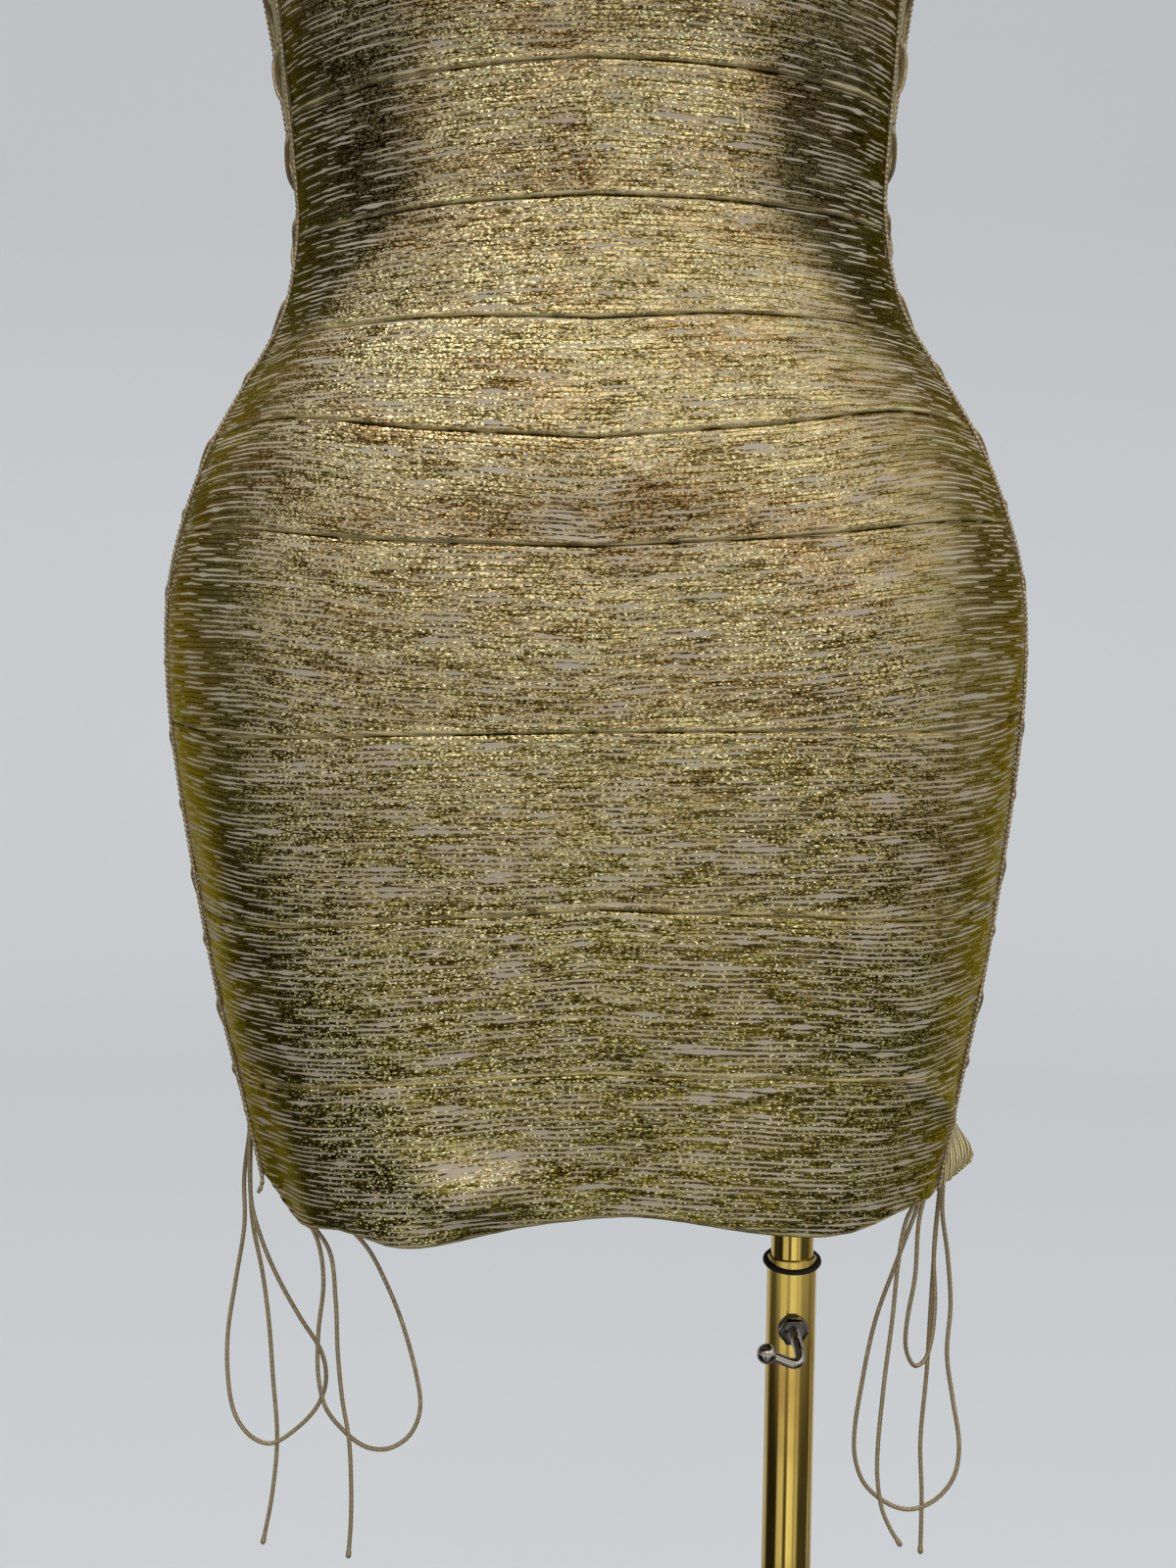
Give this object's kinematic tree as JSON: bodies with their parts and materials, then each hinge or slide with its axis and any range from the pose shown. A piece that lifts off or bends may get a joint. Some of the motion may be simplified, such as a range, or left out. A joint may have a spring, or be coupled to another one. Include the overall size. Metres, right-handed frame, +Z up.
{
  "type": "bodycon dress on dress form with stand",
  "caption": "Banded gold-foil bodycon mini dress, laced down both sides and tied in bows, on a limbless dress form with a telescoping brass pole and round base.",
  "frame": {"origin": "middle of the round base's underside, on the floor", "axes": "+Z up; the dress's front faces -Y; the viewer's right, seen from the front, is +X"},
  "size_m": [0.3586, 0.34, 1.5437],
  "materials": {
    "gold_foil_knit": "viscose bandage knit printed with gold foil",
    "eyelet_tape": "woven lurex ribbon with set eyelets",
    "gold_braid": "metallic chain braid",
    "satin_cord": "twisted metallic satin cord",
    "painted_form": "painted foam shell",
    "polished_brass": "polished tube",
    "plated_steel": "dark nickel plate",
    "black_rubber": "plain",
    "painted_base": "satin black powder coat"
  },
  "bodies": {
    "stand": {"base_disc": "painted_base", "base_socket": "polished_brass", "pole_outer": "polished_brass", "pole_ring": "black_rubber", "clamp_nut": "plated_steel"},
    "figure": {"front_band_01": "gold_foil_knit", "front_band_02": "gold_foil_knit", "front_band_03": "gold_foil_knit", "front_band_04": "gold_foil_knit", "front_band_05": "gold_foil_knit", "front_band_06": "gold_foil_knit", "front_band_07": "gold_foil_knit", "front_band_08": "gold_foil_knit", "front_band_09": "gold_foil_knit", "front_band_10": "gold_foil_knit", "front_band_11": "gold_foil_knit", "front_band_12": "gold_foil_knit", "back_band_01": "gold_foil_knit", "back_band_02": "gold_foil_knit", "back_band_03": "gold_foil_knit", "back_band_04": "gold_foil_knit", "back_band_05": "gold_foil_knit", "back_band_06": "gold_foil_knit", "back_band_07": "gold_foil_knit", "back_band_08": "gold_foil_knit", "back_band_09": "gold_foil_knit", "back_band_10": "gold_foil_knit", "back_band_11": "gold_foil_knit", "back_band_12": "gold_foil_knit", "front_tape_left": "eyelet_tape", "front_tape_right": "eyelet_tape", "back_tape_left": "eyelet_tape", "back_tape_right": "eyelet_tape", "front_braid_left": "gold_braid", "front_braid_right": "gold_braid", "back_braid_left": "gold_braid", "back_braid_right": "gold_braid", "lace_left": "satin_cord", "lace_right": "satin_cord", "knot_left": "satin_cord", "knot_right": "satin_cord", "left_loop_a": "satin_cord", "left_end_a": "satin_cord", "left_loop_b": "satin_cord", "left_end_b": "satin_cord", "right_end_a": "satin_cord", "right_loop_big": "satin_cord", "right_loop_small": "satin_cord", "right_end_b": "satin_cord", "form_torso": "painted_form", "form_flange": "plated_steel", "pole_inner": "polished_brass"},
    "clamp": {"clamp_screw": "plated_steel"}
  },
  "joints": [
    {"name": "height_slide", "type": "slide", "parent": "stand", "child": "figure", "axis": [0, 0, 1], "range_m": [-0.055, 0.2]},
    {"name": "clamp_turn", "type": "hinge", "parent": "stand", "child": "clamp", "pos_m": [0.0913, 0.02, 0.645], "axis": [0, -1, 0], "range_deg": [0, 360]}
  ]
}
